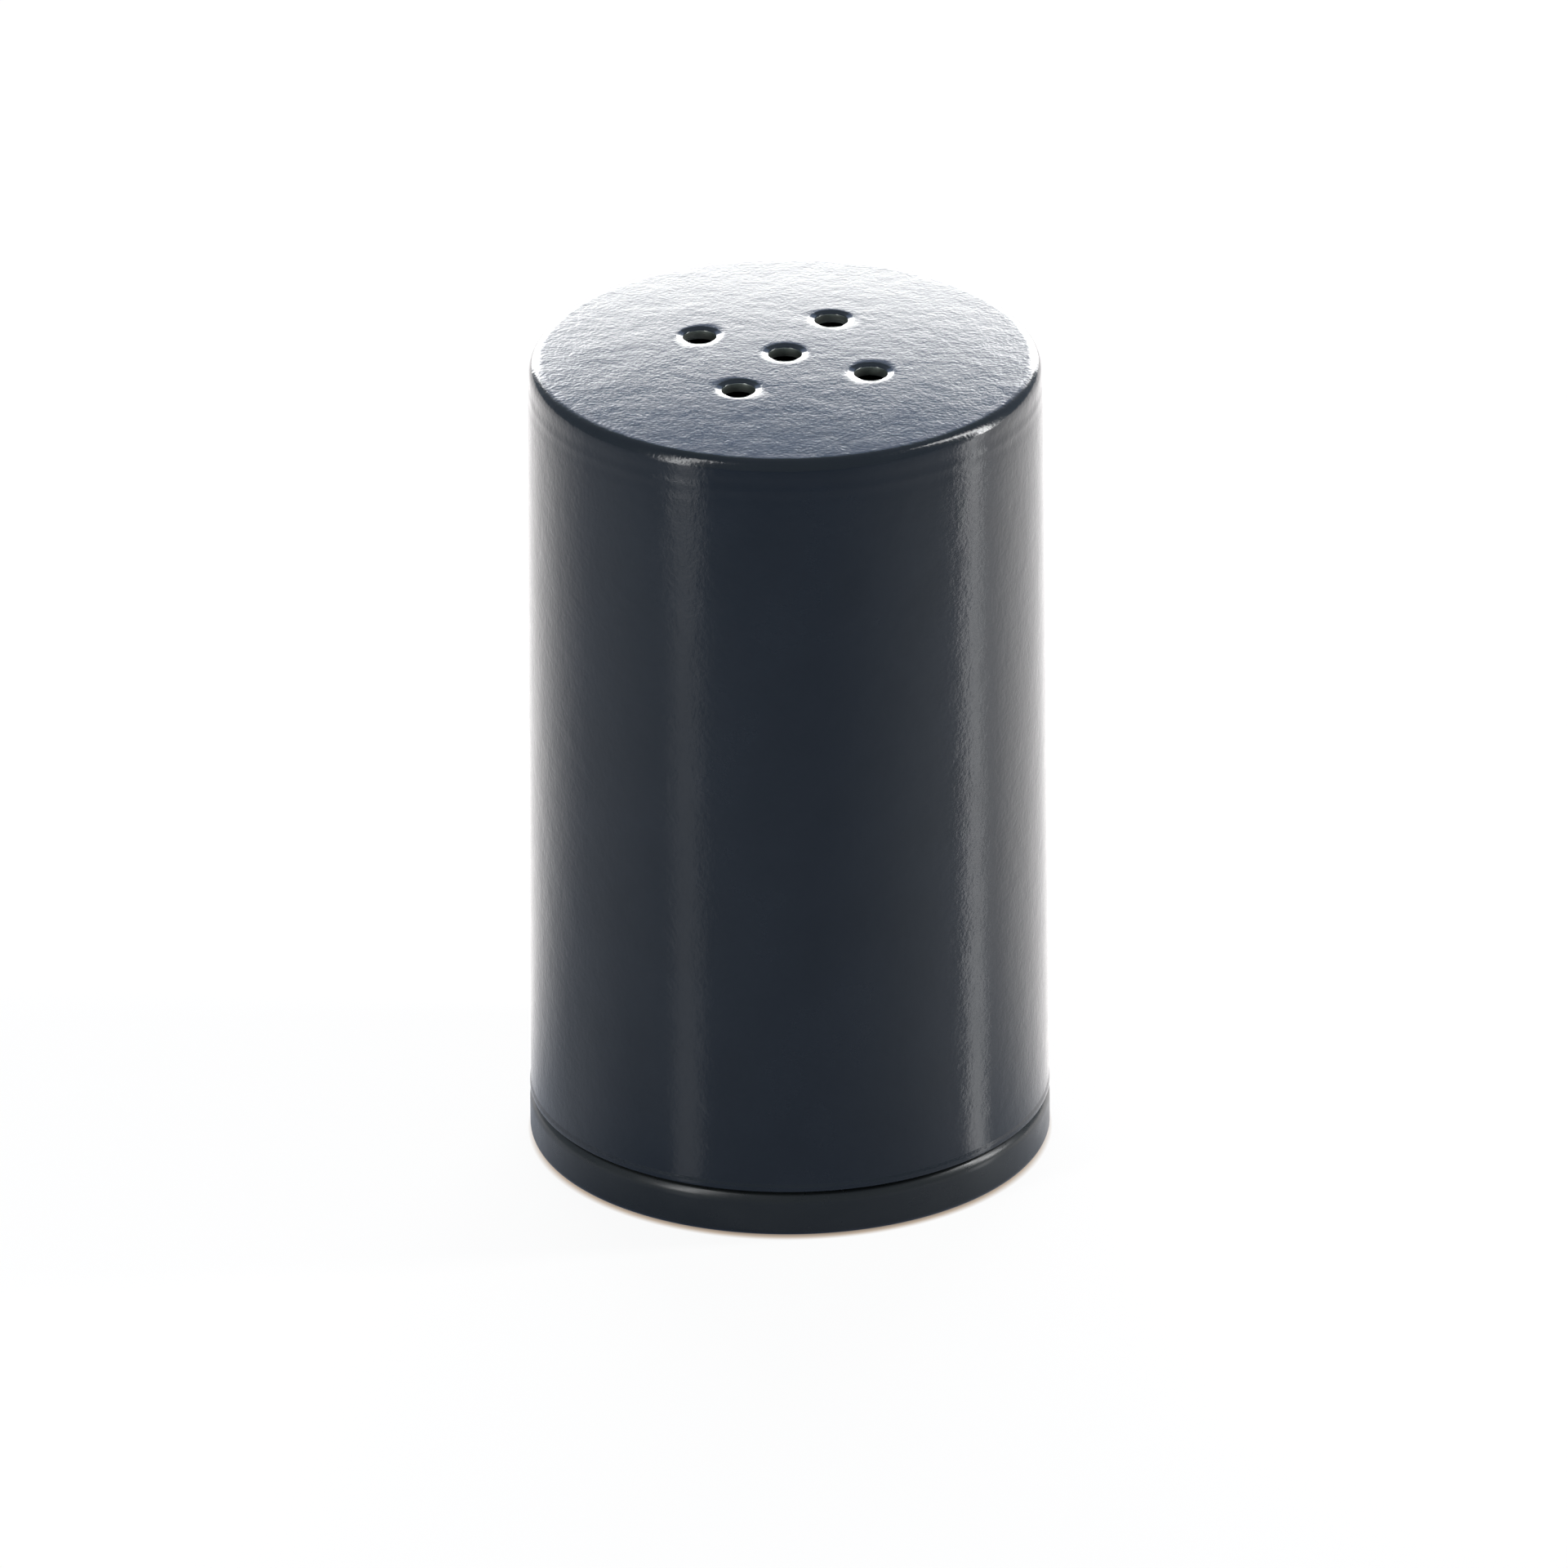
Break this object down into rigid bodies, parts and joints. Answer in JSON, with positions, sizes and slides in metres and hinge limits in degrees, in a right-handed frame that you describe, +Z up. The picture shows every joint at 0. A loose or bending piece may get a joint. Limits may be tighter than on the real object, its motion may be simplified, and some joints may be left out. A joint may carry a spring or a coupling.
{
  "type": "hand spice shaker",
  "caption": "Cylindrical hand shaker for ground spice: a black coated metal shell with pour holes in its flat top, screwed onto a moulded base with a non-slip foot.",
  "frame": {"origin": "centre of the foot, on the surface that the shaker stands on", "axes": "+Z up along the shaker's axis; the picture looks along +Y, with +X to its right"},
  "size_m": [0.04, 0.04, 0.065],
  "materials": {
    "shell_coat": "satin black coat with a fine orange peel on drawn steel",
    "base_plastic": "satin black moulding",
    "collar_plastic": "as moulded, black",
    "seal_silicone": "plain pale grey silicone",
    "foot_rubber": "finely textured black rubber"
  },
  "bodies": {
    "base": {"base_cap": "base_plastic", "foot_pad": "foot_rubber"},
    "seal": {"seal_ring": "seal_silicone"},
    "shell": {"shaker_shell": "shell_coat", "thread_collar": "collar_plastic"}
  },
  "joints": [
    {"name": "shell_twist", "type": "hinge", "parent": "base", "child": "seal", "pos_m": [0, 0, 0.00385], "axis": [0, 0, 1], "range_deg": [0, 540]},
    {"name": "shell_lift", "type": "slide", "parent": "seal", "child": "shell", "axis": [0, 0, 1], "range_m": [0, 0.009]}
  ],
  "couplings": [
    {"joint": "shell_lift", "follows": "shell_twist", "m_per_rad": 0.00095493}
  ]
}
